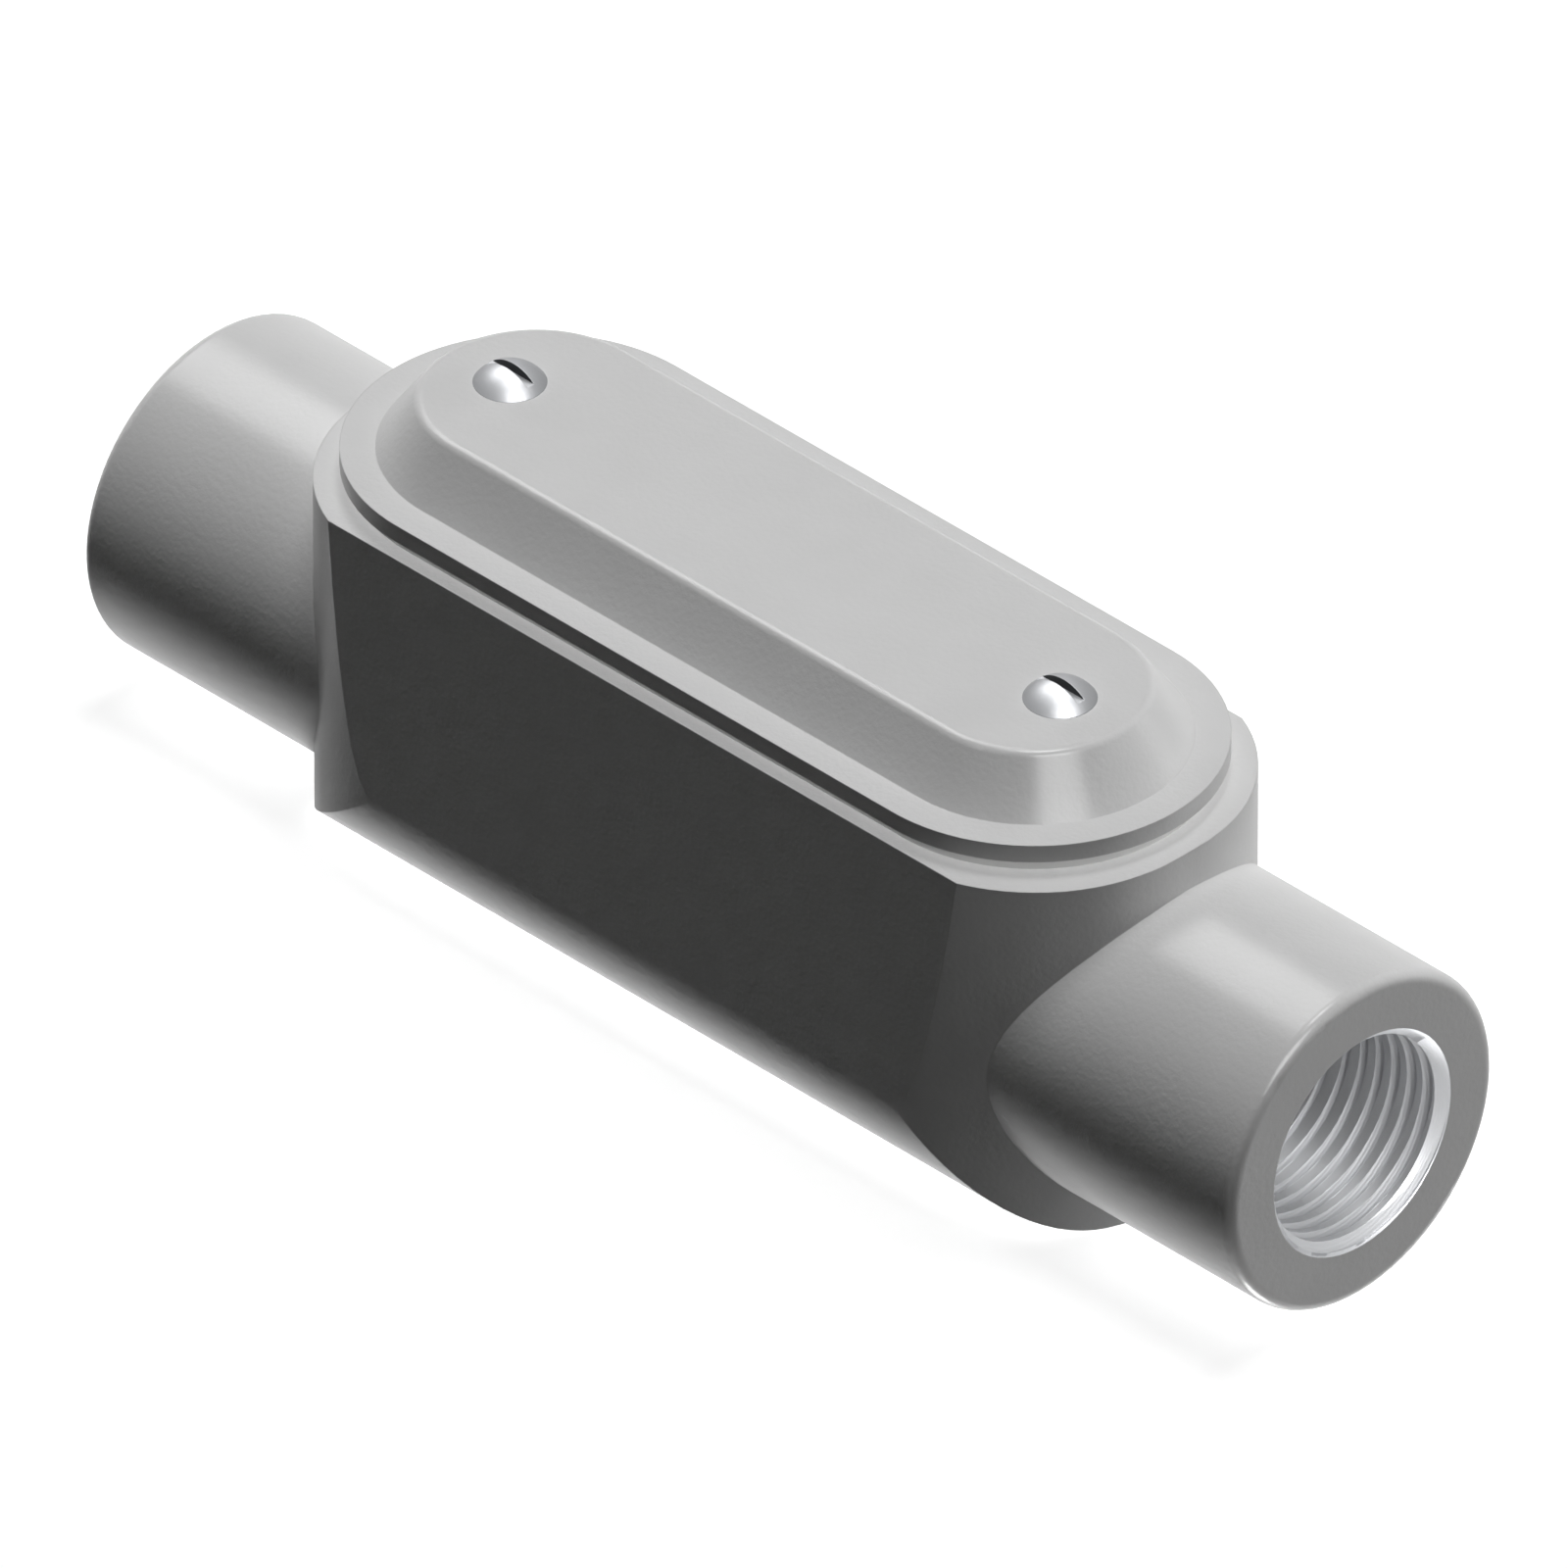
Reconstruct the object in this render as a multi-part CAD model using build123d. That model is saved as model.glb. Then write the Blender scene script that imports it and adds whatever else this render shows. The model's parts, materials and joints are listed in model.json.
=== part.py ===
from build123d import *

import math
import os

# Surface-mounted conduit body: two threaded hubs in one line, a domed cover, its gasket and two screws.
# The run of pipe lies along X, Z points up through the cover, and the origin is under the middle of the base.

# Casting, outside
run_length = 132.8
chamber_length = 92.98
chamber_end_flat = 2.53
rim_height = 34.25
rim_half_width = 16.46
side_draft_deg = 2.85
base_edge_radius = 9.73
hub_radius = 15.29
hub_mouth_rounding = 1.05

# Casting, inside
end_wall = 5.2
inner_end_flat = 2.8
floor_thickness = 3.2
inner_edge_radius = 6.2
throat_sill = 1.79

# Hubs tapped for half-inch taper pipe thread, and the smooth throat behind each one
tapped_radius = 9.29
tapped_depth = 15.3
mouth_chamfer = 0.93
throat_radius = 7.9
throat_lip_chamfer = 0.9
throat_mouth_chamfer = 0.8

# Cover, set back a little from the edge of the rim
cover_side_setback = 0.34
cover_end_setback = 1.71
flange_thickness = 1.64
flange_ledge = 2.94
dome_rise = 4.91
dome_slope_deg = 55.3
dome_edge_radius = 0.95
dome_wall = 2.35
dome_inner_chamfer = 0.8

# Gasket, bevelled inwards from the flange down to the rim
gasket_thickness = 1.45
gasket_bevel = 1.13
gasket_width = 2.6
rim_seat_width = 2.2

# Cover screws and what they pass through
screw_offset = 3.04
shank_radius = 1.75
shank_length = 15.9
shank_tip_chamfer = 0.45
head_radius = 3.08
head_height = 1.6
slot_width = 0.8
slot_floor_height = 0.72
tapped_hole_clearance = 0.05
through_hole_clearance = 0.2
lug_wall = 2.5
lug_clearance = 2.16
lug_rise = 1.5
lug_chamfer = 0.7
cover_boss_wall = 2.0
gasket_tab_wall = 2.2

# Worked out from the above
draft = math.tan(math.radians(side_draft_deg))
dome_taper_deg = 90 - dome_slope_deg
dome_taper = math.tan(math.radians(dome_taper_deg))
hub_face_x = run_length / 2
chamber_end_x = chamber_length / 2
inner_end_x = chamber_end_x - end_wall
tapped_bottom_x = hub_face_x - tapped_depth
inner_end_chamfer = hub_radius - throat_radius - floor_thickness - throat_sill
flange_radius = rim_half_width - cover_side_setback
cover_arc_centre = chamber_end_x - cover_end_setback - flange_radius
dome_foot_radius = flange_radius - flange_ledge
gasket_foot_radius = flange_radius - gasket_bevel
rim_opening_half = gasket_foot_radius - rim_seat_width
screw_x = cover_arc_centre + screw_offset
tapped_hole_radius = shank_radius + tapped_hole_clearance
through_hole_radius = shank_radius + through_hole_clearance
flange_z = rim_height + gasket_thickness
dome_foot_z = flange_z + flange_thickness
dome_top_z = dome_foot_z + dome_rise
dome_ceiling_z = dome_top_z - dome_wall
sides = (-1, 1)


def widest_half_width(rim_half, floor_z, edge_radius):
    """Half width where the rounded lower edge bulges furthest."""
    centre_z = floor_z + edge_radius
    side_at_centre = rim_half + (rim_height - centre_z) * draft
    return side_at_centre - edge_radius / math.cos(math.radians(side_draft_deg)) + edge_radius


def trough(end_x, end_flat, rim_half, floor_z, edge_radius, end_chamfer):
    """Drafted trough, rounded along its lower edges and round-ended but for a small flat."""
    foot_half = rim_half + (rim_height - floor_z) * draft
    outline = Polygon(
        (-foot_half, floor_z),
        (foot_half, floor_z),
        (rim_half, rim_height),
        (-rim_half, rim_height),
        align=None,
    )
    lower_corners = outline.vertices().sort_by(Axis.Y)[:2]
    section = Plane.YZ * fillet(lower_corners, edge_radius)
    lengthwise = extrude(section, amount=end_x, both=True)
    half_width = widest_half_width(rim_half, floor_z, edge_radius)
    plan = RectangleRounded(2 * end_x, 2 * half_width, half_width - end_flat / 2)
    upright = extrude(Pos(0, 0, floor_z) * plan, amount=rim_height - floor_z)
    if end_chamfer:
        upright = chamfer(upright.faces().sort_by(Axis.Z)[0].edges(), end_chamfer)
    return lengthwise & upright


def stadium(radius, z):
    """Long round-ended outline that the cover and the gasket share."""
    return Pos(0, 0, z) * SlotCenterToCenter(2 * cover_arc_centre, 2 * radius)


def tongue(side, radius, z):
    """Round-nosed pad around a screw, running out towards the end of the part."""
    reach = hub_face_x - screw_x
    pad = Circle(radius) + Pos(reach / 2, 0) * Rectangle(reach, 2 * radius)
    if side < 0:
        pad = Rot(0, 0, 180) * pad
    return Pos(side * screw_x, 0, z) * pad


def screw_holes(radius, low_z, high_z):
    """Round cutters on both screw lines."""
    cutters = Part()
    for side in sides:
        cutters += Pos(side * screw_x, 0, low_z) * Cylinder(
            radius, high_z - low_z, align=(Align.CENTER, Align.CENTER, Align.MIN)
        )
    return cutters


def hub(side):
    """Solid hub flush with the base, rounded at its mouth."""
    barrel = Pos(0, 0, hub_radius) * Rot(0, 90 * side, 0) * Cylinder(
        hub_radius, hub_face_x, align=(Align.CENTER, Align.CENTER, Align.MIN)
    )
    face = barrel.faces().sort_by(Axis.X)[-1 if side > 0 else 0]
    return fillet(face.edges(), hub_mouth_rounding)


def hub_bore(side):
    """Chamfered tapped bore, the bevelled lip at its bottom and the throat into the chamber."""
    inside_x = inner_end_x / 2
    outline = Polygon(
        (inside_x, 0),
        (inside_x, throat_radius),
        (tapped_bottom_x - throat_lip_chamfer, throat_radius),
        (tapped_bottom_x, throat_radius + throat_lip_chamfer),
        (tapped_bottom_x, tapped_radius),
        (hub_face_x - mouth_chamfer, tapped_radius),
        (hub_face_x, tapped_radius + mouth_chamfer),
        (hub_face_x, 0),
        align=None,
    )
    cutter = revolve(Plane.XZ * outline, Axis.X)
    if side < 0:
        cutter = Rot(0, 0, 180) * cutter
    return Pos(0, 0, hub_radius) * cutter


def throat_edges(casting, side):
    """Edges where a throat opens through the end wall of the chamber."""
    found = []
    for edge in casting.edges():
        on_throat = [
            abs(math.hypot(point.Y, point.Z - hub_radius) - throat_radius) < 0.01
            for point in (edge.position_at(share) for share in (0.1, 0.5, 0.9))
        ]
        middle_x = edge.position_at(0.5).X * side
        if all(on_throat) and inner_end_x - throat_radius < middle_x < inner_end_x + 0.01:
            found.append(edge)
    return found


def screw_lug(side):
    """Lug under the rim that takes a cover screw, deeper where it grows out of the end wall."""
    lug_radius = tapped_hole_radius + lug_wall
    lug_root_z = hub_radius + throat_radius + lug_clearance
    nose_x = screw_x - lug_radius
    profile = Plane.XZ * Polygon(
        (nose_x, rim_height),
        (nose_x, lug_root_z + lug_rise),
        (chamber_end_x, lug_root_z),
        (chamber_end_x, rim_height),
        align=None,
    )
    wedge = extrude(profile, amount=lug_radius, both=True)
    if side < 0:
        wedge = Rot(0, 0, 180) * wedge
    lug = wedge & extrude(tongue(side, lug_radius, 0), amount=rim_height)
    underside = lug.faces().filter_by(lambda face: face.normal_at().Z < -0.9)[0]
    hanging = [edge for edge in underside.edges() if abs(edge.center().X) < chamber_end_x - 0.01]
    return chamfer(hanging, lug_chamfer)


def make_conduit_body():
    """One casting: wiring chamber, two hubs in line and the two cover lugs."""
    outside = trough(
        chamber_end_x, chamber_end_flat, rim_half_width, 0, base_edge_radius, end_chamfer=0
    )
    chamber = trough(
        inner_end_x,
        inner_end_flat,
        rim_opening_half,
        floor_thickness,
        inner_edge_radius,
        inner_end_chamfer,
    )
    casting = outside
    for side in sides:
        casting += hub(side)
    casting -= chamber
    for side in sides:
        casting += screw_lug(side) & outside
    for side in sides:
        casting -= hub_bore(side)
    casting -= screw_holes(tapped_hole_radius, hub_radius + throat_radius, rim_height)
    for side in sides:
        casting = chamfer(throat_edges(casting, side), throat_mouth_chamfer)
    return casting


def make_gasket():
    """Flat ring with a bevelled edge and a tab around each screw."""
    bevel_deg = math.degrees(math.atan(gasket_bevel / gasket_thickness))
    ring = extrude(stadium(gasket_foot_radius, rim_height), amount=gasket_thickness, taper=-bevel_deg)
    opening = extrude(stadium(gasket_foot_radius - gasket_width, rim_height), amount=gasket_thickness)
    tab_radius = through_hole_radius + gasket_tab_wall
    for side in sides:
        opening -= extrude(tongue(side, tab_radius, rim_height), amount=gasket_thickness)
    ring -= opening
    return ring - screw_holes(through_hole_radius, rim_height, flange_z)


def make_cover():
    """Cast cover: flat flange, sloping dome with a flat top, hollow beneath but for two bosses."""
    flange = extrude(stadium(flange_radius, flange_z), amount=flange_thickness)
    dome = extrude(stadium(dome_foot_radius, dome_foot_z), amount=dome_rise, taper=dome_taper_deg)
    dome = fillet(dome.faces().sort_by(Axis.Z)[-1].edges(), dome_edge_radius)
    slope_wall = dome_wall / math.cos(math.radians(dome_taper_deg))
    hollow_foot = dome_foot_radius + flange_thickness * dome_taper - slope_wall
    hollow_rise = dome_ceiling_z - flange_z
    hollow = extrude(stadium(hollow_foot, flange_z), amount=hollow_rise, taper=dome_taper_deg)
    hollow = chamfer(hollow.faces().sort_by(Axis.Z)[-1].edges(), dome_inner_chamfer)
    boss_radius = through_hole_radius + cover_boss_wall
    for side in sides:
        hollow -= extrude(tongue(side, boss_radius, flange_z), amount=hollow_rise)
    cover = flange + dome - hollow
    return cover - screw_holes(through_hole_radius, flange_z, dome_top_z)


def make_screw(side):
    """Round-headed slotted screw, its plain shank chamfered at the tip."""
    cap_radius = (head_radius**2 + head_height**2) / (2 * head_height)
    cap_centre_z = head_height - cap_radius
    bend_r = head_radius * math.sin(math.radians(45))
    bend_z = cap_centre_z + math.sqrt(cap_radius**2 - bend_r**2)
    outline = Polyline(
        (0, head_height),
        (0, -shank_length),
        (shank_radius - shank_tip_chamfer, -shank_length),
        (shank_radius, shank_tip_chamfer - shank_length),
        (shank_radius, 0),
        (head_radius, 0),
    )
    outline += ThreePointArc((head_radius, 0), (bend_r, bend_z), (0, head_height))
    screw = revolve(Plane.XZ * make_face(outline), Axis.Z)
    screw -= Pos(0, 0, slot_floor_height) * Box(
        2 * head_radius, slot_width, head_height, align=(Align.CENTER, Align.CENTER, Align.MIN)
    )
    return Pos(side * screw_x, 0, dome_top_z) * screw


def main():
    """Build each piece and write it to its own file."""
    pieces = {
        "conduit_body": make_conduit_body(),
        "gasket": make_gasket(),
        "cover": make_cover(),
        "left_cover_screw": make_screw(-1),
        "right_cover_screw": make_screw(1),
    }
    os.makedirs("parts", exist_ok=True)
    for name, piece in pieces.items():
        export_step(piece, f"parts/{name}.step")
        print(f"{name}: {piece.volume:.1f} mm3, solids {len(piece.solids())}")


main()
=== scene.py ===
"""Conduit body with a domed access cover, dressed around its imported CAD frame.

The casting, its tapped hubs, the cover, the gasket and the cover screws get their
finishes here, with the fine threads that the frame's solids leave plain.
"""

from __future__ import annotations

import json
import logging
import math
from dataclasses import dataclass
from enum import Enum
from typing import Any

import bmesh
import bpy
from mathutils import Matrix, Vector
from mathutils.kdtree import KDTree

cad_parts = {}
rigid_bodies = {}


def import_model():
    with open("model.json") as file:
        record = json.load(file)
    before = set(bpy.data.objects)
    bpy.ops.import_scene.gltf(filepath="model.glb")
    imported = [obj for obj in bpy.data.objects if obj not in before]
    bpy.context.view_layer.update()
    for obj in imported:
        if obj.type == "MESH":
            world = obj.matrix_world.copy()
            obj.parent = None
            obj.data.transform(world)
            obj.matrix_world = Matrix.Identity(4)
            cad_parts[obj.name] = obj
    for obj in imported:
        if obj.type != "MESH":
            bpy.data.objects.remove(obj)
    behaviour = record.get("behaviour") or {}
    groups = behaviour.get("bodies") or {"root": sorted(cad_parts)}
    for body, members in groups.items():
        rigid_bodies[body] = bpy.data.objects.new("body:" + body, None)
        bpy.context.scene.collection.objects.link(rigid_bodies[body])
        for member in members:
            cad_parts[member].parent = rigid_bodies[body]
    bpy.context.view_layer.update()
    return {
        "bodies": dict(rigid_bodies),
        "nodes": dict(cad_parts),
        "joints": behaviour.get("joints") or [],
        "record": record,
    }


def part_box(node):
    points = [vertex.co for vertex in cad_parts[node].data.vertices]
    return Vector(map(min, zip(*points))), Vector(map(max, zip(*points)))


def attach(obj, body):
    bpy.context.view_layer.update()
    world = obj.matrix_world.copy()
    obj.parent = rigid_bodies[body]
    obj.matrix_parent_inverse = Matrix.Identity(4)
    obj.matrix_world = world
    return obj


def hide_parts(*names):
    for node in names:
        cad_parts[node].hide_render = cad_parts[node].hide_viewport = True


LOG = logging.getLogger("conduit_body")
MM = 0.001


class Side(Enum):
    """Which end of the run a hub or a screw is on."""

    LEFT = -1
    RIGHT = 1


def linear(hex_colour: str) -> tuple[float, float, float, float]:
    """Turn an sRGB hex colour into the linear colour that shaders take.

    Args:
        hex_colour: Six hex digits after a hash sign.

    Returns:
        Linear red, green, blue and an alpha of 1.
    """
    channels = [int(hex_colour[i : i + 2], 16) / 255 for i in (1, 3, 5)]
    return (*(c / 12.92 if c <= 0.04045 else ((c + 0.055) / 1.055) ** 2.4 for c in channels), 1.0)


def neutral(level: float) -> tuple[float, float, float, float]:
    """Give the grey of a linear level, where 1 is white."""
    return (level, level, level, 1.0)


def noise_scale(size_mm: float) -> float:
    """Give the noise texture's scale for lumps of a size in millimetres."""
    return 1 / (size_mm * MM)


def band_scale(spacing_mm: float) -> float:
    """Give the wave texture's scale for bands at a spacing in millimetres."""
    return math.pi / (10 * spacing_mm * MM)


def add_node(
    tree: bpy.types.NodeTree,
    kind: str,
    settings: dict[str, Any] | None = None,
    inputs: dict[str | int, Any] | None = None,
) -> bpy.types.Node:
    """Add one shader node with its settings and its inputs.

    Args:
        tree: Node tree that gets the node.
        kind: Blender's name for the node type.
        settings: Node properties by name.
        inputs: Socket values by name or index; an output socket is linked instead.

    Returns:
        The new node.
    """
    node = tree.nodes.new(kind)
    for name, value in (settings or {}).items():
        setattr(node, name, value)
    for name, value in (inputs or {}).items():
        if isinstance(value, bpy.types.NodeSocket):
            tree.links.new(value, node.inputs[name])
        else:
            node.inputs[name].default_value = value
    return node


def new_material(name: str) -> tuple[bpy.types.Material, bpy.types.NodeTree]:
    """Make an empty node material.

    Args:
        name: Name of the finish.

    Returns:
        The material and its cleared node tree.
    """
    material = bpy.data.materials.new(name)
    material.use_nodes = True
    material.node_tree.nodes.clear()
    return material, material.node_tree


@dataclass(frozen=True)
class EnamelledCasting:
    """Sand-cast aluminium under baked grey enamel.

    The sand leaves a fine pebbled skin, which gives the flats a faint grain. The enamel flows
    level over it as it bakes, so edges and roundings carry whole, soft highlights.
    """

    name: str = "sand_cast_aluminium_grey_enamel"
    colour: str = "#CCCCCC"
    shade: str = "#C5C5C5"
    roughness: float = 0.6
    gloss: float = 0.45
    gloss_roughness: float = 0.25
    gloss_ior: float = 1.5
    # Foundry sand is about half as coarse; drawn larger, so that the pebbling shows.
    sand_grain_mm: float = 0.55
    swell_mm: float = 7.0
    grain_height_mm: float = 0.035
    edge_radius_mm: float = 0.16

    def material(self) -> bpy.types.Material:
        """Build the node material.

        Returns:
            The finished material.
        """
        material, tree = new_material(self.name)
        where = add_node(tree, "ShaderNodeTexCoord").outputs["Object"]
        sand = add_node(
            tree,
            "ShaderNodeTexNoise",
            inputs={"Vector": where, "Scale": noise_scale(self.sand_grain_mm), "Detail": 3.0},
        )
        swell = add_node(
            tree,
            "ShaderNodeTexNoise",
            inputs={"Vector": where, "Scale": noise_scale(self.swell_mm), "Detail": 2.0},
        )
        colour = add_node(
            tree,
            "ShaderNodeMix",
            {"data_type": "RGBA"},
            {"Factor": swell.outputs["Fac"], 6: linear(self.shade), 7: linear(self.colour)},
        )
        rounded = add_node(tree, "ShaderNodeBevel", {"samples": 6}, {"Radius": self.edge_radius_mm * MM})
        bump = add_node(
            tree,
            "ShaderNodeBump",
            inputs={
                "Height": sand.outputs["Fac"],
                "Distance": self.grain_height_mm * MM,
                "Strength": 1.0,
                "Normal": rounded.outputs["Normal"],
            },
        )
        shader = add_node(
            tree,
            "ShaderNodeBsdfPrincipled",
            inputs={
                "Base Color": colour.outputs[2],
                "Roughness": self.roughness,
                # The clear gloss of the enamel carries the whole reflection.
                "Specular IOR Level": 0.0,
                "Coat Weight": self.gloss,
                "Coat Roughness": self.gloss_roughness,
                "Coat IOR": self.gloss_ior,
                "Coat Normal": rounded.outputs["Normal"],
                "Normal": bump.outputs["Normal"],
            },
        )
        add_node(tree, "ShaderNodeOutputMaterial", inputs={"Surface": shader.outputs["BSDF"]})
        return material


@dataclass(frozen=True)
class MachinedAluminium:
    """Bare aluminium left by the tap and the chamfering tool, bright with fine turning marks."""

    name: str = "tapped_bare_aluminium"
    colour: str = "#B4B5B7"
    roughness: float = 0.5
    tool_mark_mm: float = 0.16
    mark_height_mm: float = 0.006

    def material(self) -> bpy.types.Material:
        """Build the node material, its marks ringed round the run.

        Returns:
            The finished material.
        """
        material, tree = new_material(self.name)
        where = add_node(tree, "ShaderNodeTexCoord").outputs["Object"]
        marks = add_node(
            tree,
            "ShaderNodeTexWave",
            {"wave_type": "BANDS", "bands_direction": "X"},
            {
                "Vector": where,
                "Scale": band_scale(self.tool_mark_mm),
                "Distortion": 1.5,
                "Detail": 2.0,
            },
        )
        bump = add_node(
            tree,
            "ShaderNodeBump",
            inputs={"Height": marks.outputs["Fac"], "Distance": self.mark_height_mm * MM},
        )
        shader = add_node(
            tree,
            "ShaderNodeBsdfPrincipled",
            inputs={
                "Base Color": linear(self.colour),
                "Metallic": 1.0,
                "Roughness": self.roughness,
                "Normal": bump.outputs["Normal"],
            },
        )
        add_node(tree, "ShaderNodeOutputMaterial", inputs={"Surface": shader.outputs["BSDF"]})
        return material


@dataclass(frozen=True)
class MouldedNeoprene:
    """Light grey moulded neoprene: matt, with a faint skin mottle."""

    name: str = "moulded_neoprene_light_grey"
    colour: str = "#DDDDDC"
    shade: str = "#D3D3D2"
    roughness: float = 0.62
    ior: float = 1.52
    mottle_mm: float = 1.2
    skin_height_mm: float = 0.02

    def material(self) -> bpy.types.Material:
        """Build the node material.

        Returns:
            The finished material.
        """
        material, tree = new_material(self.name)
        where = add_node(tree, "ShaderNodeTexCoord").outputs["Object"]
        mottle = add_node(
            tree,
            "ShaderNodeTexNoise",
            inputs={"Vector": where, "Scale": noise_scale(self.mottle_mm), "Detail": 4.0},
        )
        colour = add_node(
            tree,
            "ShaderNodeMix",
            {"data_type": "RGBA"},
            {"Factor": mottle.outputs["Fac"], 6: linear(self.shade), 7: linear(self.colour)},
        )
        bump = add_node(
            tree,
            "ShaderNodeBump",
            inputs={"Height": mottle.outputs["Fac"], "Distance": self.skin_height_mm * MM},
        )
        shader = add_node(
            tree,
            "ShaderNodeBsdfPrincipled",
            inputs={
                "Base Color": colour.outputs[2],
                "Roughness": self.roughness,
                "IOR": self.ior,
                "Normal": bump.outputs["Normal"],
            },
        )
        add_node(tree, "ShaderNodeOutputMaterial", inputs={"Surface": shader.outputs["BSDF"]})
        return material


@dataclass(frozen=True)
class ZincPlatedSteel:
    """Bright zinc plate over a cold-headed steel screw: a cool sheen with soft, broad highlights."""

    name: str = "cold_headed_steel_bright_zinc"
    colour: str = "#8F9092"
    smoothest: float = 0.41
    roughest: float = 0.53
    # The plate's crystals are far finer; drawn larger, so that its soft mottle shows.
    crystal_mm: float = 0.35
    crystal_height_mm: float = 0.004
    edge_radius_mm: float = 0.07

    def material(self) -> bpy.types.Material:
        """Build the node material.

        Returns:
            The finished material.
        """
        material, tree = new_material(self.name)
        where = add_node(tree, "ShaderNodeTexCoord").outputs["Object"]
        crystals = add_node(
            tree,
            "ShaderNodeTexNoise",
            inputs={"Vector": where, "Scale": noise_scale(self.crystal_mm), "Detail": 2.0},
        )
        rounded = add_node(tree, "ShaderNodeBevel", {"samples": 6}, {"Radius": self.edge_radius_mm * MM})
        bump = add_node(
            tree,
            "ShaderNodeBump",
            inputs={
                "Height": crystals.outputs["Fac"],
                "Distance": self.crystal_height_mm * MM,
                "Normal": rounded.outputs["Normal"],
            },
        )
        gloss = add_node(
            tree,
            "ShaderNodeMapRange",
            inputs={
                "Value": crystals.outputs["Fac"],
                "To Min": self.smoothest,
                "To Max": self.roughest,
            },
        )
        shader = add_node(
            tree,
            "ShaderNodeBsdfPrincipled",
            inputs={
                "Base Color": linear(self.colour),
                "Metallic": 1.0,
                "Roughness": gloss.outputs["Result"],
                "Normal": bump.outputs["Normal"],
            },
        )
        add_node(tree, "ShaderNodeOutputMaterial", inputs={"Surface": shader.outputs["BSDF"]})
        return material


@dataclass(frozen=True)
class PaintedSlotShade:
    """Dull steel with saw marks on the screw slot's walls, darkened as painted shade for the inside of the
    slot.
    """

    name: str = "sawn_slot_dark_steel"
    # The near-black colour is painted shade for the inside of the slot.
    colour: str = "#3F4042"
    roughness: float = 0.55
    saw_mark_mm: float = 0.1
    mark_height_mm: float = 0.01

    def material(self) -> bpy.types.Material:
        """Build the node material, its marks along the slot.

        Returns:
            The finished material.
        """
        material, tree = new_material(self.name)
        where = add_node(tree, "ShaderNodeTexCoord").outputs["Object"]
        marks = add_node(
            tree,
            "ShaderNodeTexWave",
            {"wave_type": "BANDS", "bands_direction": "Z"},
            {"Vector": where, "Scale": band_scale(self.saw_mark_mm), "Distortion": 2.0},
        )
        bump = add_node(
            tree,
            "ShaderNodeBump",
            inputs={"Height": marks.outputs["Fac"], "Distance": self.mark_height_mm * MM},
        )
        shader = add_node(
            tree,
            "ShaderNodeBsdfPrincipled",
            inputs={
                "Base Color": linear(self.colour),
                "Metallic": 1.0,
                "Roughness": self.roughness,
                "Normal": bump.outputs["Normal"],
            },
        )
        add_node(tree, "ShaderNodeOutputMaterial", inputs={"Surface": shader.outputs["BSDF"]})
        return material


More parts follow.
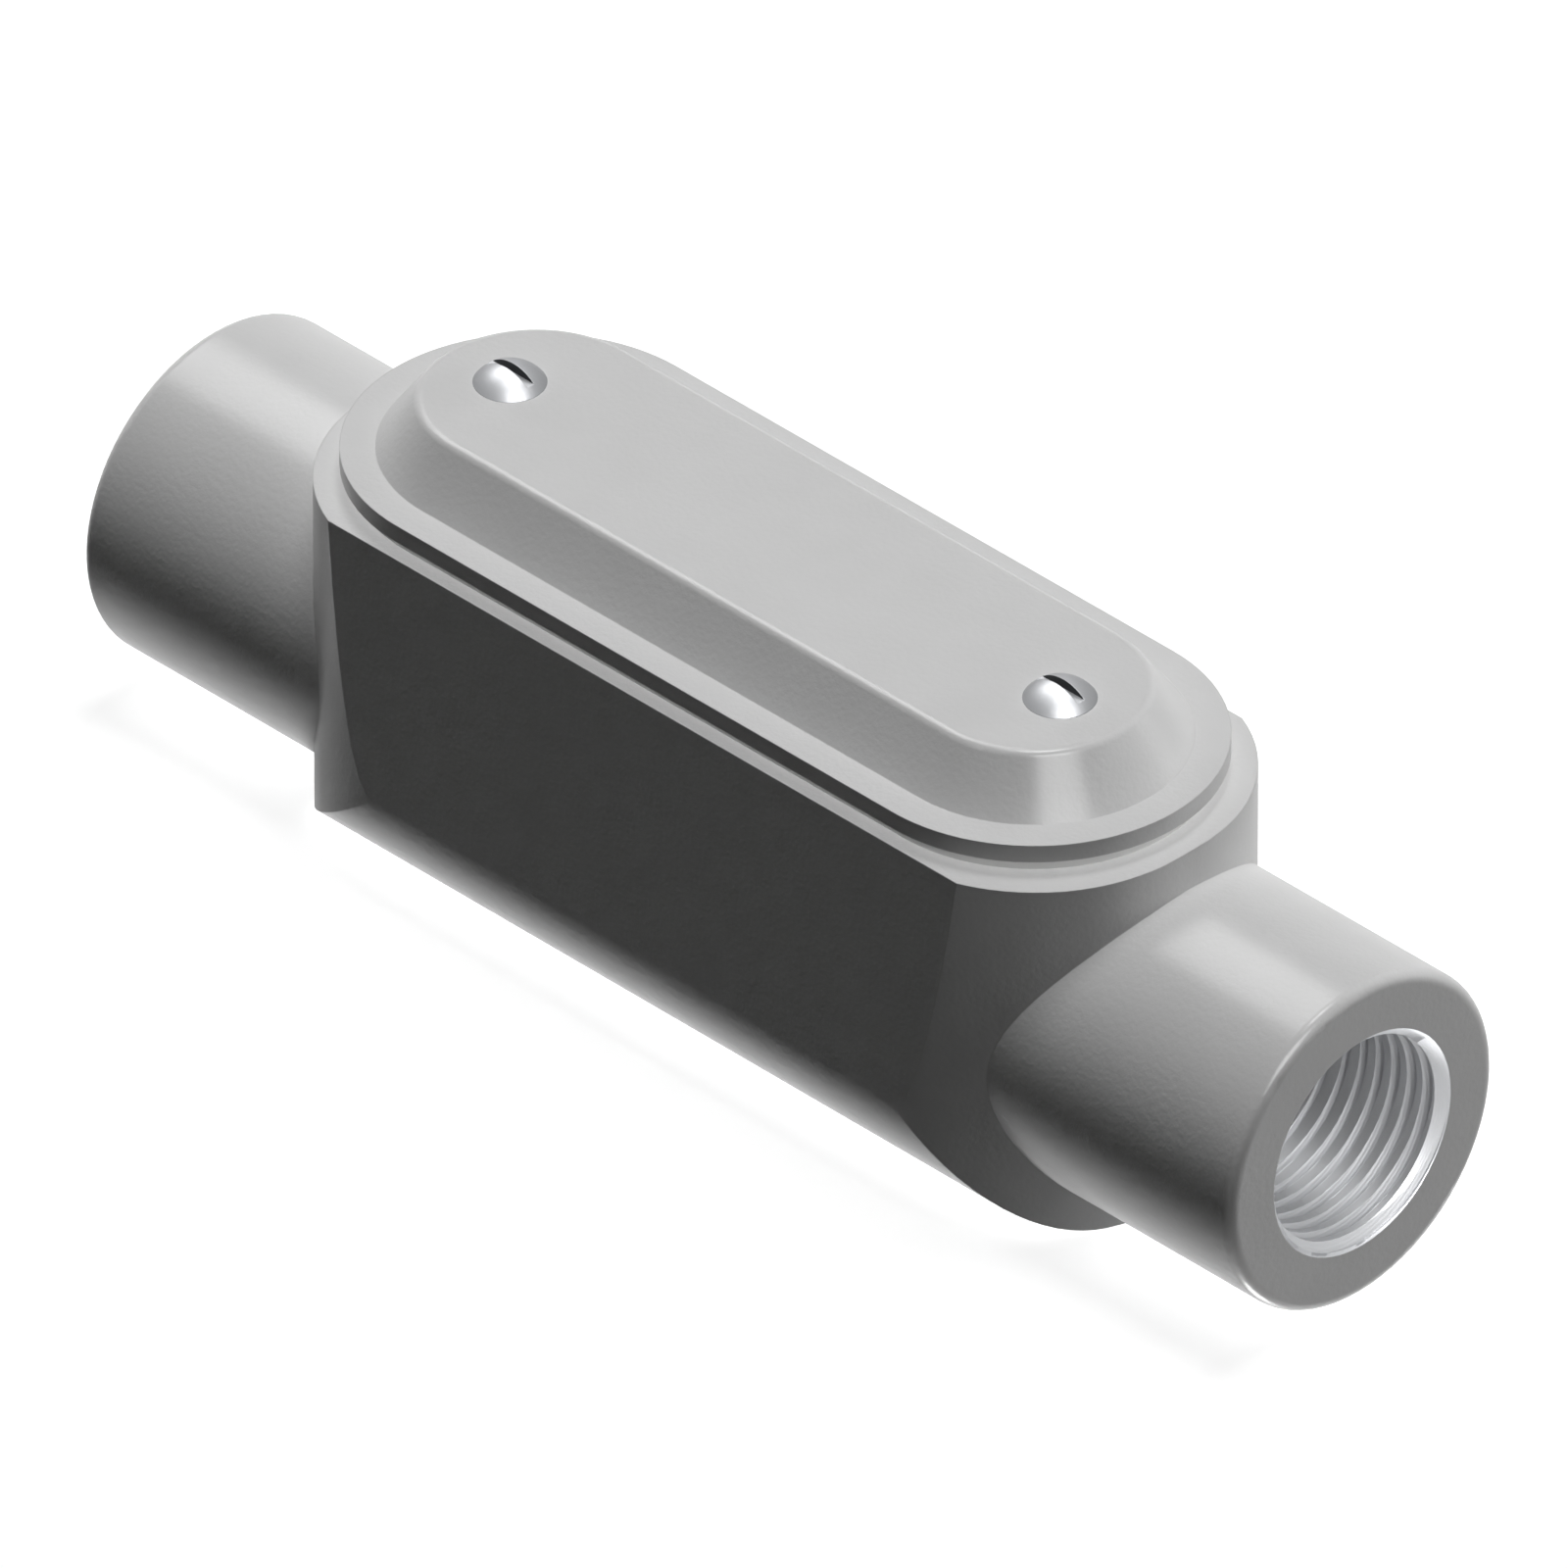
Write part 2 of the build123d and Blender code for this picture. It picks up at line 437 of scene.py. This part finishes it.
@dataclass(frozen=True)
class ThreadTool:
    """The V-shaped tool whose path leaves a right-hand thread on a bore or a shank.

    Sizes are in millimetres. ``surface`` is the radius of the plain bore or shank and
    ``root`` that of the bottom of the groove, which is larger on a bore and smaller on a shank.
    A cut face is a crest or a root where its normal's share along the axis is under
    ``wall_facing``, and a flank where it is over ``flank_facing``.
    """

    pitch: float
    surface: float
    root: float
    root_flat: float
    clearance: float
    steps_per_turn: int
    run_out_turns: float = 0.7
    root_taper: float = 0.0
    flank_deg: float = 30.0
    shallowest: float = 0.02
    wall_facing: float = 0.35
    flank_facing: float = 0.8

    def section(self, root: float) -> list[tuple[float, float]]:
        """Give the tool's four corners, as radius and place along the axis.

        Args:
            root: Radius of the groove's bottom at this place.

        Returns:
            Corners in order round the tool, the open side first.
        """
        outward = math.copysign(1.0, self.root - self.surface)
        open_side = self.surface - outward * self.clearance
        depth = max(outward * (root - open_side), self.shallowest)
        narrow = self.root_flat / 2
        wide = narrow + depth * math.tan(math.radians(self.flank_deg))
        deep = open_side + outward * depth
        return [(open_side, -wide), (deep, -narrow), (deep, narrow), (open_side, wide)]

    def path(self, cutter: bmesh.types.BMesh, place: Matrix, length: float) -> None:
        """Add the tool's whole helical path to a cutter mesh.

        Args:
            cutter: Mesh that gets the path as one closed solid.
            place: Frame of the thread in metres, whose Z is the axis and whose origin is its start.
            length: How far the path goes along the axis.
        """
        turns = length / self.pitch
        count = math.ceil(turns * self.steps_per_turn)
        rings = []
        for step in range(count + 1):
            turn = turns * step / count
            along = turn * self.pitch
            left = (turns - turn) / self.run_out_turns
            root = self.root - self.root_taper * along
            if left < 1:
                root = self.surface + (root - self.surface) * math.sin(left * math.pi / 2)
                root -= (1 - left) * math.copysign(self.clearance, self.root - self.surface)
            spoke = Vector((math.cos(2 * math.pi * turn), math.sin(2 * math.pi * turn), 0))
            corners = [
                spoke * radius + Vector((0, 0, along + shift)) for radius, shift in self.section(root)
            ]
            rings.append([cutter.verts.new(place @ (corner * MM)) for corner in corners])
        for one, two in zip(rings, rings[1:]):
            for i in range(len(one)):
                j = (i + 1) % len(one)
                cutter.faces.new((one[i], one[j], two[j], two[i]))
        cutter.faces.new(rings[0])
        cutter.faces.new(reversed(rings[-1]))

    def shade(self, piece: bpy.types.Object, place: Matrix, length: float) -> None:
        """Give the thread's crests, flanks and roots the shading of true round surfaces.

        Args:
            piece: The cut piece.
            place: Frame of the thread, as for its path.
            length: How far the thread goes along the axis.
        """
        mesh = piece.data
        local = place.inverted()
        rotation = place.to_3x3()
        near, far = sorted((self.surface, self.root))
        sine, cosine = math.sin(math.radians(self.flank_deg)), math.cos(math.radians(self.flank_deg))
        shading = [Vector(corner.vector) for corner in mesh.corner_normals]
        for polygon in mesh.polygons:
            centre = local @ polygon.center / MM
            in_groove = near - self.clearance < centre.xy.length < far + self.clearance
            facing = local.to_3x3() @ polygon.normal
            on_run_out = self.wall_facing < abs(facing.z) < self.flank_facing
            if on_run_out or not in_groove or not 0 < centre.z < length:
                continue
            side = math.copysign(1.0, facing.xy.dot(centre.xy))
            for loop in polygon.loop_indices:
                out = (local @ mesh.vertices[mesh.loops[loop].vertex_index].co).xy.normalized() * side
                if abs(facing.z) <= self.wall_facing:
                    true = Vector((out.x, out.y, 0))
                else:
                    true = Vector((out.x * sine, out.y * sine, math.copysign(cosine, facing.z)))
                shading[loop] = rotation @ true
        mesh.normals_split_custom_set(shading)


def thread_frame(start: Vector, axis: Vector) -> Matrix:
    """Give a frame with its origin at a thread's start and its Z along the thread's axis.

    Args:
        start: Start of the thread in metres.
        axis: Direction that the thread runs in.

    Returns:
        The frame as a 4 by 4 matrix.
    """
    return Matrix.Translation(start) @ axis.to_track_quat("Z", "Y").to_matrix().to_4x4()


def cut_copy(
    node: bpy.types.Object,
    name: str,
    cutter: bmesh.types.BMesh,
    cut_finish: bpy.types.Material,
    crease_deg: float = 28.0,
) -> bpy.types.Object:
    """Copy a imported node, cut a tool's path out of the copy and shade its curved faces smooth.

    Args:
        node: Node of the frame, which stays as it is.
        name: Name of the new piece.
        cutter: Tool's path, freed here.
        cut_finish: Material of the faces that the tool leaves.
        crease_deg: Edges that turn more than this stay sharp.

    Returns:
        The threaded piece.
    """
    bmesh.ops.recalc_face_normals(cutter, faces=cutter.faces)
    tool_mesh = bpy.data.meshes.new(name + "_tool")
    cutter.to_mesh(tool_mesh)
    cutter.free()
    tool_mesh.materials.append(cut_finish)
    tool = bpy.data.objects.new(name + "_tool", tool_mesh)
    bpy.context.scene.collection.objects.link(tool)
    piece = bpy.data.objects.new(name, node.data.copy())
    bpy.context.scene.collection.objects.link(piece)
    weld(piece.data)
    cut = piece.modifiers.new("thread", "BOOLEAN")
    cut.object = tool
    cut.operation = "DIFFERENCE"
    cut.solver = "EXACT"
    cut.material_mode = "TRANSFER"
    bake_modifiers(piece)
    bpy.data.objects.remove(tool)
    bpy.data.meshes.remove(tool_mesh)
    piece.data.shade_smooth()
    piece.data.set_sharp_from_angle(angle=math.radians(crease_deg))
    keep_shading(piece, node)
    return piece


def weld(mesh: bpy.types.Mesh, distance_m: float = 1e-6) -> None:
    """Join the corners of neighbouring faces, so that the mesh is one closed skin.

    Args:
        mesh: Mesh to weld.
        distance_m: Corners closer than this become one.
    """
    skin = bmesh.new()
    skin.from_mesh(mesh)
    bmesh.ops.remove_doubles(skin, verts=skin.verts, dist=distance_m)
    skin.to_mesh(mesh)
    skin.free()


def keep_shading(
    piece: bpy.types.Object, node: bpy.types.Object, same_place_m: float = 2e-7, same_facing: float = 0.9999
) -> None:
    """Give a cut copy the shading of its node wherever the cut left the node's own corners.

    Args:
        piece: The cut copy, already shaded smooth with its creases marked.
        node: Node that it was copied from.
        same_place_m: Corners closer than this are the same.
        same_facing: Faces whose normals agree by more than this are the same.
    """
    source = node.data
    corners = KDTree(len(source.loops))
    facing = {}
    for polygon in source.polygons:
        for loop in polygon.loop_indices:
            corners.insert(source.vertices[source.loops[loop].vertex_index].co, loop)
            facing[loop] = polygon.normal
    corners.balance()
    mesh = piece.data
    shading = [Vector(corner.vector) for corner in mesh.corner_normals]
    for polygon in mesh.polygons:
        for loop in polygon.loop_indices:
            place = mesh.vertices[mesh.loops[loop].vertex_index].co
            near = corners.find_range(place, same_place_m)
            agreement, match = max(((facing[i].dot(polygon.normal), i) for _, i, _ in near), default=(0, 0))
            if agreement > same_facing:
                shading[loop] = source.corner_normals[match].vector
    mesh.normals_split_custom_set(shading)


def bake_modifiers(piece: bpy.types.Object) -> None:
    """Turn a piece's modifiers into its mesh.

    Args:
        piece: Object whose modifiers are applied and removed.
    """
    depsgraph = bpy.context.evaluated_depsgraph_get()
    mesh = bpy.data.meshes.new_from_object(piece.evaluated_get(depsgraph), depsgraph=depsgraph)
    piece.modifiers.clear()
    piece.data = mesh


@dataclass
class Casting:
    """The cast body with its tapped hubs and screw lugs. Sizes are in millimetres."""

    pipe_thread: ThreadTool = ThreadTool(
        pitch=1.8143,
        surface=9.29,
        root=10.17,
        root_flat=0.25,
        clearance=0.25,
        steps_per_turn=72,
        root_taper=1 / 32,
    )
    lug_thread: ThreadTool = ThreadTool(
        pitch=0.794,
        surface=1.80,
        root=2.08,
        root_flat=0.12,
        clearance=0.1,
        steps_per_turn=24,
        run_out_turns=0.3,
    )
    hub_lead: float = 2.0
    run_out_stop: float = 0.4
    lug_thread_length: float = 10.0
    bore_reach: float = 10.3
    hub_face_facing: float = 0.95

    def build(
        self, frame: dict[str, Any], coat: bpy.types.Material, bare: bpy.types.Material
    ) -> bpy.types.Object:
        """Cut the threads into a copy of the casting and finish it.

        Args:
            frame: The loaded frame.
            coat: Finish of the casting's skin.
            bare: Finish of the tapped and chamfered faces.

        Returns:
            The threaded casting.
        """
        node = frame["nodes"]["conduit_body"]
        node.data.materials[0] = coat
        cutter = bmesh.new()
        runs = []
        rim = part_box("conduit_body")[1][2]
        for mount in self.hub_mounts(frame):
            axis = Vector(mount["axis"])
            start = Vector(mount["pos_m"]) + axis * self.hub_lead * MM
            length = self.hub_lead + mount["dims"]["length_mm"] - self.run_out_stop
            runs.append((self.pipe_thread, thread_frame(start, -axis), length))
        for side in Side:
            screw_low, screw_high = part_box(f"{side.name.lower()}_cover_screw")
            middle = (Vector(screw_low) + Vector(screw_high)) / 2
            top = Vector((middle.x, middle.y, rim + self.lug_thread.pitch * MM))
            runs.append((self.lug_thread, thread_frame(top, Vector((0, 0, -1))), self.lug_thread_length))
        for tool, place, length in runs:
            tool.path(cutter, place, length)
        piece = cut_copy(node, "threaded_casting", cutter, bare)
        for tool, place, length in runs:
            tool.shade(piece, place, length)
        self.bare_the_bores(piece, frame, bare)
        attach(piece, "body")
        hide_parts("conduit_body")
        return piece

    def hub_mounts(self, frame: dict[str, Any]) -> list[dict[str, Any]]:
        """List the mounts of the tapped hubs."""
        return [mount for mount in frame["record"]["mounts"] if mount["kind"] == "threaded_hole"]

    def bare_the_bores(
        self, piece: bpy.types.Object, frame: dict[str, Any], bare: bpy.types.Material
    ) -> None:
        """Give the plain faces left inside the tapped bores and their chamfers the bare finish.

        Args:
            piece: The threaded casting.
            frame: The loaded frame.
            bare: Finish of the tapped and chamfered faces, already one of the piece's materials.
        """
        slot = [material.name for material in piece.data.materials].index(bare.name)
        for mount in self.hub_mounts(frame):
            face, axis = Vector(mount["pos_m"]), Vector(mount["axis"])
            for polygon in piece.data.polygons:
                offset = polygon.center - face
                along = offset.dot(axis)
                radius = (offset - axis * along).length
                inside = -mount["dims"]["length_mm"] * MM < along and radius < self.bore_reach * MM
                if inside and abs(polygon.normal.dot(axis)) < self.hub_face_facing:
                    polygon.material_index = slot


@dataclass
class Cover:
    """The domed cover, cast and enamelled like the body, as the frame gives it."""

    node_name: str = "cover"

    def build(self, frame: dict[str, Any], coat: bpy.types.Material) -> bpy.types.Object:
        """Give the cover its coat.

        Args:
            frame: The loaded frame.
            coat: Finish of the casting's skin.

        Returns:
            The dressed cover.
        """
        node = frame["nodes"][self.node_name]
        node.data.materials[0] = coat
        return node


@dataclass
class Gasket:
    """The moulded ring between the cover's flange and the rim, as the frame gives it."""

    node_name: str = "gasket"

    def build(self, frame: dict[str, Any], rubber: bpy.types.Material) -> bpy.types.Object:
        """Give the gasket its rubber.

        Args:
            frame: The loaded frame.
            rubber: Finish of the moulded ring.

        Returns:
            The dressed gasket.
        """
        node = frame["nodes"][self.node_name]
        node.data.materials[0] = rubber
        return node


@dataclass
class CoverScrew:
    """One round-head cover screw with its thread. Sizes are in millimetres.

    ``slot_reach`` is how far from the middle its slot's walls may lie, and ``slot_wall_facing``
    is how squarely a face has to look across the slot to be one of them.
    """

    side: Side
    thread: ThreadTool = ThreadTool(
        pitch=0.794,
        surface=1.75,
        root=1.33,
        root_flat=0.18,
        clearance=0.05,
        steps_per_turn=24,
        run_out_turns=1.0,
    )
    tip_lead: float = 0.6
    plain_neck: float = 1.0
    slot_reach: float = 0.41
    slot_wall_facing: float = 0.99

    def build(
        self, frame: dict[str, Any], finish: bpy.types.Material, slot_painted_shade: bpy.types.Material
    ) -> bpy.types.Object:
        """Cut the thread into a copy of the screw and plate it.

        Args:
            frame: The loaded frame.
            finish: The plating.
            slot_painted_shade: Near-black material on the slot's walls, painted shade for the inside of the
                slot.

        Returns:
            The threaded screw.
        """
        name = self.side.name.lower()
        node = frame["nodes"][f"{name}_cover_screw"]
        node.data.materials[0] = finish
        low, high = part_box(f"{name}_cover_screw")
        middle = (Vector(low) + Vector(high)) / 2
        tip = Vector((middle.x, middle.y, low[2] - self.tip_lead * MM))
        cover_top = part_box("cover")[1][2]
        length = (cover_top - tip.z) / MM - self.plain_neck
        cutter = bmesh.new()
        place = thread_frame(tip, Vector((0, 0, 1)))
        self.thread.path(cutter, place, length)
        piece = cut_copy(node, f"{name}_threaded_screw", cutter, finish)
        self.thread.shade(piece, place, length)
        # The slot's walls get a near-black material: painted shade for the inside of the slot.
        piece.data.materials.append(slot_painted_shade)
        for polygon in piece.data.polygons:
            off_middle = abs(polygon.center.y - middle.y)
            in_slot = polygon.center.z > cover_top and off_middle < self.slot_reach * MM
            if in_slot and abs(polygon.normal.y) > self.slot_wall_facing:
                polygon.material_index = len(piece.data.materials) - 1
        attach(piece, f"{name}_screw")
        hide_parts(f"{name}_cover_screw")
        return piece


@dataclass(frozen=True)
class Aim:
    """Where a lamp or the camera stands: the direction it looks from and how far away.

    The azimuth is 0 from the front and 90 from the right, and the elevation is the height above
    the floor as an angle.
    """

    azimuth_deg: float
    elevation_deg: float
    distance_m: float

    def place(self, thing: bpy.types.Object, target: Vector) -> None:
        """Link an object to the scene, standing here and looking at a point.

        Args:
            thing: The lamp or camera.
            target: Point that it looks at, in metres.
        """
        azimuth, elevation = math.radians(self.azimuth_deg), math.radians(self.elevation_deg)
        level = Vector((math.sin(azimuth), -math.cos(azimuth), 0)) * math.cos(elevation)
        back = level + Vector((0, 0, math.sin(elevation)))
        thing.location = target + back * self.distance_m
        thing.rotation_euler = (-back).to_track_quat("-Z", "Y").to_euler()
        bpy.context.scene.collection.objects.link(thing)


@dataclass(frozen=True)
class Lamp:
    """A square soft lamp aimed at the object.

    ``level`` is the brightness that it gives a white surface facing it, where 1 is white.
    ``diffuse`` and ``glossy`` say which kind of reflection shows it.
    """

    name: str
    level: float
    size_m: float
    aim: Aim
    shadow: bool = True
    diffuse: bool = True
    glossy: bool = True

    def hang(self, target: Vector) -> bpy.types.Object:
        """Add the lamp to the scene.

        Args:
            target: Point that it is aimed at, in metres.

        Returns:
            The lamp object.
        """
        data = bpy.data.lights.new(self.name, "AREA")
        data.shape = "SQUARE"
        data.size = self.size_m
        data.energy = self.level * math.pi**2 * self.aim.distance_m**2
        data.use_shadow = self.shadow
        lamp = bpy.data.objects.new(self.name, data)
        lamp.visible_diffuse = self.diffuse
        lamp.visible_glossy = self.glossy
        self.aim.place(lamp, target)
        return lamp


@dataclass
class Studio:
    """White sweep, soft lamps and a long-lens camera at the isometric viewing angle.

    Two lamps hang overhead, of which one casts no shadow so that ledges and bores stay open to
    the eye. Low lamps light the ends, one shines up through the lit table, and the glint and the
    sheen show only as highlights. ``frame_width_mm`` is how much of the object the picture's
    width spans, and ``look_at_height_mm`` is how high above the floor its middle lies.
    """

    azimuth_deg: float = 45.0
    elevation_deg: float = math.degrees(math.atan(1 / math.sqrt(2)))
    frame_width_mm: float = 128.14
    look_at_height_mm: float = 17.78
    lens_mm: float = 1500.0
    sensor_mm: float = 36.0
    floor_size_m: float = 6.0
    floor_drop_mm: float = 0.02
    floor_white: float = 0.9
    floor_glow: float = 0.28
    floor_bounce: float = 0.01
    world_fill: float = 0.006
    lamps: tuple[Lamp, ...] = (
        Lamp("overhead", 0.28, 0.4, Aim(180, 84, 1.4)),
        Lamp("overhead_fill", 0.55, 0.4, Aim(180, 84, 1.4), shadow=False),
        Lamp("right_end", 0.5, 0.45, Aim(150, 4, 1.3), glossy=False),
        Lamp("right_fill", 0.115, 0.45, Aim(90, 0, 1.3), glossy=False),
        Lamp("left_end", 0.5, 0.45, Aim(263, 4, 1.3), glossy=False),
        Lamp("lit_table", 1.17, 0.4, Aim(180, -87, 1.4)),
        Lamp("glint", 1.4, 0.8, Aim(68, 44, 1.5), diffuse=False),
        Lamp("sheen", 0.7, 0.8, Aim(-108, 53, 1.5), diffuse=False),
    )

    def camera(self, target: Vector) -> None:
        """Place the camera so that the frame is as wide as the picture's.

        Args:
            target: Point in the middle of the frame, in metres.
        """
        data = bpy.data.cameras.new("camera")
        data.lens = self.lens_mm
        data.sensor_width = self.sensor_mm
        distance = self.frame_width_mm * MM * self.lens_mm / self.sensor_mm
        data.clip_end = distance * 2
        camera = bpy.data.objects.new("camera", data)
        Aim(self.azimuth_deg, self.elevation_deg, distance).place(camera, target)
        bpy.context.scene.camera = camera

    def floor(self) -> None:
        """Lay the white table, dim to the light that bounces off it and white to the eye.

        It lets the lamp below it through, as a lit table does, and is clear from underneath.
        """
        bpy.ops.mesh.primitive_plane_add(size=self.floor_size_m, location=(0, 0, -self.floor_drop_mm * MM))
        floor = bpy.context.object
        floor.name = "floor"
        material, tree = new_material("matt_white_floor")
        seen = self.seen_white(tree)
        colour = add_node(
            tree,
            "ShaderNodeMix",
            {"data_type": "RGBA"},
            {"Factor": seen, 6: neutral(self.floor_bounce), 7: neutral(self.floor_white)},
        )
        diffuse = add_node(tree, "ShaderNodeBsdfDiffuse", inputs={"Color": colour.outputs[2]})
        lift = add_node(
            tree, "ShaderNodeMath", {"operation": "MULTIPLY"}, {0: seen, 1: self.floor_glow}
        )
        glow = add_node(tree, "ShaderNodeEmission", inputs={"Strength": lift.outputs[0]})
        top = add_node(tree, "ShaderNodeAddShader", inputs={0: diffuse.outputs[0], 1: glow.outputs[0]})
        underside = add_node(tree, "ShaderNodeBsdfTransparent")
        sided = add_node(
            tree,
            "ShaderNodeMixShader",
            inputs={
                0: add_node(tree, "ShaderNodeNewGeometry").outputs["Backfacing"],
                1: top.outputs[0],
                2: underside.outputs[0],
            },
        )
        add_node(tree, "ShaderNodeOutputMaterial", inputs={"Surface": sided.outputs[0]})
        floor.data.materials.append(material)
        floor.visible_shadow = False

    def seen_white(self, tree: bpy.types.NodeTree) -> bpy.types.NodeSocket:
        """Give 1 for the rays that should meet a white studio, and 0 for bounced light.

        Args:
            tree: Node tree of the floor or of the world.

        Returns:
            The socket that holds the result.
        """
        path = add_node(tree, "ShaderNodeLightPath")
        gloss = add_node(
            tree,
            "ShaderNodeMath",
            {"operation": "MAXIMUM"},
            {0: path.outputs["Is Camera Ray"], 1: path.outputs["Is Glossy Ray"]},
        )
        glass = add_node(
            tree,
            "ShaderNodeMath",
            {"operation": "MAXIMUM"},
            {0: gloss.outputs[0], 1: path.outputs["Is Transmission Ray"]},
        )
        return glass.outputs[0]

    def world(self) -> None:
        """Set a white world for the eye and for reflections, with a faint fill for the rest."""
        world = bpy.data.worlds.new("studio")
        world.use_nodes = True
        tree = world.node_tree
        tree.nodes.clear()
        strength = add_node(
            tree,
            "ShaderNodeMapRange",
            inputs={"Value": self.seen_white(tree), "To Min": self.world_fill, "To Max": 1.0},
        )
        back = add_node(
            tree,
            "ShaderNodeBackground",
            inputs={"Color": neutral(1.0), "Strength": strength.outputs["Result"]},
        )
        add_node(tree, "ShaderNodeOutputWorld", inputs={"Surface": back.outputs[0]})
        bpy.context.scene.world = world

    def build(self) -> None:
        """Set up the camera, lamps, floor, world and view."""
        target = Vector((0, 0, self.look_at_height_mm * MM))
        self.camera(target)
        for lamp in self.lamps:
            lamp.hang(target)
        self.floor()
        self.world()
        bpy.context.scene.view_settings.view_transform = "Standard"


def main() -> None:
    """Load the frame, dress each sub-assembly and set up the studio."""
    logging.basicConfig(level=logging.INFO, format="%(name)s: %(message)s")
    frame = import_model()
    coat = EnamelledCasting().material()
    rubber = MouldedNeoprene().material()
    zinc = ZincPlatedSteel().material()
    bare = MachinedAluminium().material()
    # Near-black steel for the screw slots' walls, which paints in the shade inside the slots.
    painted_slot_shade = PaintedSlotShade().material()
    casting = Casting().build(frame, coat, bare)
    LOG.info("cut and dressed %s, %d faces", casting.name, len(casting.data.polygons))
    for side in Side:
        screw = CoverScrew(side).build(frame, zinc, painted_slot_shade)
        LOG.info("cut and dressed %s, %d faces", screw.name, len(screw.data.polygons))
    for piece in (Cover().build(frame, coat), Gasket().build(frame, rubber)):
        LOG.info("dressed %s", piece.name)
    Studio().build()


if __name__ == "__main__":
    main()
